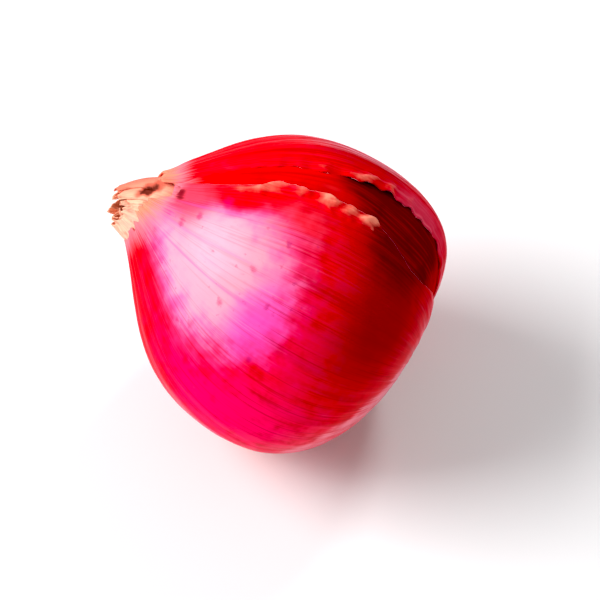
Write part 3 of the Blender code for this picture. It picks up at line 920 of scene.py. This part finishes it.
def make_neck():
    """The frayed neck: whorls of dried blades, drawn in order, round a domed plug with six low
    lobes, painted dark as shade."""
    draw = np.random.default_rng(5)
    order = [(layer, i) for layer, whorl in enumerate(WHORLS) for i in range(whorl[0])]
    blades, grain, deep_shade, rosy, ripe = zip(*(make_blade(draw, layer, i) for layer, i in order))
    turn = np.linspace(0, TAU, PLUG_COLUMNS, endpoint=False)[None, :]
    step = np.linspace(0, 1, PLUG_ROWS)[:, None]
    radius = PLUG_RADIUS * (1 - step**1.5) + 0.02 + 0.25 * np.sin(6 * turn) * step * (1 - step)
    height = PLUG_HEIGHT * step**0.7 + 0 * turn
    plug = np.stack((radius * np.cos(turn), radius * np.sin(turn), height), -1).reshape(-1, 3)
    size = BLADE_ROWS * BLADE_COLUMNS
    faces = [grid_faces(BLADE_ROWS, BLADE_COLUMNS, n * size) for n in range(len(order))]
    faces.append(grid_faces(PLUG_ROWS, PLUG_COLUMNS, len(order) * size, wrap=True))
    bend = axis_bend(NECK_HEIGHT)
    foot = np.array((bend * math.cos(NECK_LEAN_AT), bend * math.sin(NECK_LEAN_AT), NECK_HEIGHT))
    points = in_row(np.concatenate((np.array(blades).reshape(-1, 3), plug)) * MM + foot)
    zeros = np.zeros(len(plug))
    values = {
        "grain": np.concatenate((np.array(grain).reshape(-1, 3), plug)),
        "deep_shade": np.concatenate((np.array(deep_shade).ravel(), zeros + PLUG_SHADE)),
        "rosy": np.concatenate((np.array(rosy).ravel(), zeros)),
        "ripe": np.concatenate((np.array(ripe).ravel(), zeros)),
    }
    material = dried_material("dried_leaf", LEAF_PALE, LEAF_MID, LEAF_DARK)
    neck = new_piece("frayed_neck", points, np.concatenate(faces), values, material, "dry_neck")
    add_wall(neck, BLADE_WALL, 0)


def tubes(paths, radii, sides):
    """Points and faces of tubes with round sections carried along their paths: paths is tubes by
    steps by 3, radii is tubes by steps. Each section stands across the path's direction there. The
    ends are left open, so one is sunk in another piece and one narrows to almost nothing."""
    way = np.gradient(paths, axis=1)
    way /= np.linalg.norm(way, axis=-1, keepdims=True)
    side = np.cross(way, (0.3, 0.9, 0.2))
    side /= np.linalg.norm(side, axis=-1, keepdims=True)
    other = np.cross(way, side)
    turn = np.linspace(0, TAU, sides, endpoint=False)
    ring = side[:, :, None] * np.cos(turn)[:, None] + other[:, :, None] * np.sin(turn)[:, None]
    points = paths[:, :, None] + ring * radii[:, :, None, None]
    count, steps = radii.shape
    faces = [grid_faces(steps, sides, i * steps * sides, wrap=True) for i in range(count)]
    return points, np.concatenate(faces)


def make_plate():
    """Points of the root plate: an outline turned round the axis, with two waves round its radius."""
    turn = np.linspace(0, TAU, PLATE_COLUMNS, endpoint=False)[None, :]
    outline = np.array(PLATE_OUTLINE) * (PLATE_RADIUS, PLATE_DEPTH)
    radius = outline[:, :1] * (1 + 0.05 * np.sin(9 * turn) + 0.04 * np.sin(17 * turn + 1))
    height = outline[:, 1:] + ROOT_HEIGHT + 0 * turn
    return np.stack((radius * np.cos(turn), radius * np.sin(turn), height), -1).reshape(-1, 3)


def make_roots():
    """The root plate, and dried roots set in it in a sunflower spiral. Each root is a tapering tube
    along a path that droops to one side and waves about it."""
    draw = np.random.default_rng(9)
    share = np.sqrt((np.arange(ROOTS) + 0.5) / ROOTS)
    turn = np.arange(ROOTS) * GOLDEN_ANGLE
    out = np.stack((np.cos(turn), np.sin(turn), 0 * turn), -1)
    aside = np.stack((-np.sin(turn), np.cos(turn), 0 * turn), -1)
    droop = np.array((math.cos(DROOP_AT), math.sin(DROOP_AT), 0))
    splay = np.radians(10 + 34 * share + draw.uniform(-9, 9, ROOTS))
    heading = out * np.sin(splay)[:, None] - np.cos(splay)[:, None] * np.array((0, 0, 1.0))
    along = np.linspace(0, 1, ROOT_STEPS)[None, :, None]
    length = (ROOT_LENGTH * draw.uniform(0.55, 1.15, ROOTS))[:, None, None]
    wave = np.sin(along * draw.uniform(4, 9, (ROOTS, 1, 1)) + draw.uniform(0, TAU, (ROOTS, 1, 1)))
    away = ROOT_SPREAD * PLATE_RADIUS * share
    start = out * away[:, None] + np.array((0, 0, ROOT_HEIGHT - ROOT_SUNK))
    paths = start[:, None] + heading[:, None] * along * length * 0.55
    paths = paths + droop * along**1.3 * length * 0.95
    paths = paths + aside[:, None] * wave * along * length * 0.18
    radii = ROOT_RADIUS * draw.uniform(0.7, 1.3, (ROOTS, 1)) * (1 - 0.6 * along[..., 0])
    radii[:, -1] *= 0.02
    points, faces = tubes(paths, radii, ROOT_SIDES)
    points = points.reshape(-1, 3)
    plate = make_plate()
    plate_faces = grid_faces(len(PLATE_OUTLINE), PLATE_COLUMNS, len(points), wrap=True)[:, ::-1]
    faces = np.concatenate((faces, plate_faces))
    rings = (ROOTS, ROOT_STEPS, ROOT_SIDES)
    spots = np.broadcast_to(draw.uniform(0, 40, (ROOTS, 1, 1)), rings).ravel()
    steps = np.broadcast_to(along, rings).ravel()
    grain = np.stack((spots, 0 * spots, 3 * steps), -1)
    values = {
        "grain": np.concatenate((grain, plate / MM)),
        # Painted shade at the roots' feet and over the plate
        "deep_shade": np.concatenate((0.5 - 0.5 * steps, np.full(len(plate), PLATE_SHADE))),
    }
    material = dried_material("dried_root", ROOT_PALE, ROOT_MID, ROOT_DARK)
    points = in_row(np.concatenate((points, plate)))
    new_piece("root_beard", points, faces, values, material, "root_tuft")


def camera_frame():
    """Right, up and back of the camera: azimuth 0 looks along +Y, and it turns towards +X."""
    azimuth, elevation = CAMERA_AZIMUTH, CAMERA_ELEVATION
    right = np.array((math.cos(azimuth), math.sin(azimuth), 0))
    back = np.array(
        (
            math.sin(azimuth) * math.cos(elevation),
            -math.cos(azimuth) * math.cos(elevation),
            math.sin(elevation),
        )
    )
    return right, np.cross(back, right), back


def aim(obj, position, target):
    """Puts obj at position, looking at target."""
    way = Vector(target) - Vector(position)
    obj.location = position
    obj.rotation_euler = way.to_track_quat("-Z", "Y").to_euler()


def softbox(name, way, side, power):
    """A square soft light that stands in the direction way and faces the onion."""
    lamp = bpy.data.lights.new(name, "AREA")
    lamp.shape = "SQUARE"
    lamp.size = side
    lamp.energy = power
    obj = bpy.data.objects.new(name, lamp)
    bpy.context.scene.collection.objects.link(obj)
    position = CENTRE + way / np.linalg.norm(way) * LIGHT_DISTANCE
    aim(obj, position.tolist(), CENTRE.tolist())


def make_floor():
    """The pale floor that the onion rests on, one square."""
    mesh = bpy.data.meshes.new("floor")
    corners = [(x * FLOOR_HALF, y * FLOOR_HALF, 0) for x, y in ((-1, -1), (1, -1), (1, 1), (-1, 1))]
    mesh.from_pydata(corners, [], [(0, 1, 2, 3)])
    floor = bpy.data.objects.new("floor", mesh)
    bpy.context.scene.collection.objects.link(floor)
    g = Graph("pale_floor")
    mesh.materials.append(g.finish(Base_Color=FLOOR_GREY, Roughness=0.9, Specular_IOR_Level=0.1))


def make_studio():
    """Floor, soft light from the upper left, a weak fill, a pale sky, and the camera."""
    make_floor()
    scene = bpy.context.scene
    right, up, back = camera_frame()
    for name, (way, side, power) in LIGHTS.items():
        softbox(name, way[0] * right + way[1] * up + way[2] * back, side, power)
    world = bpy.data.worlds.new("studio")
    world.use_nodes = True
    sky = world.node_tree.nodes["Background"]
    sky.inputs["Color"].default_value = (1, 1, 1, 1)
    sky.inputs["Strength"].default_value = SKY_STRENGTH
    scene.world = world
    lens = bpy.data.cameras.new("camera")
    lens.lens = CAMERA_LENS
    camera = bpy.data.objects.new("camera", lens)
    scene.collection.objects.link(camera)
    target = CENTRE + AIM_RIGHT * right + AIM_UP * up
    aim(camera, (target + back * CAMERA_DISTANCE).tolist(), target.tolist())
    scene.camera = camera
    view = scene.view_settings
    view.view_transform = "Standard"
    view.use_curve_mapping = True
    view.curve_mapping.black_level = BLACK_LEVEL
    view.curve_mapping.update()


make_scale()
make_skin()
make_neck()
make_roots()
make_studio()
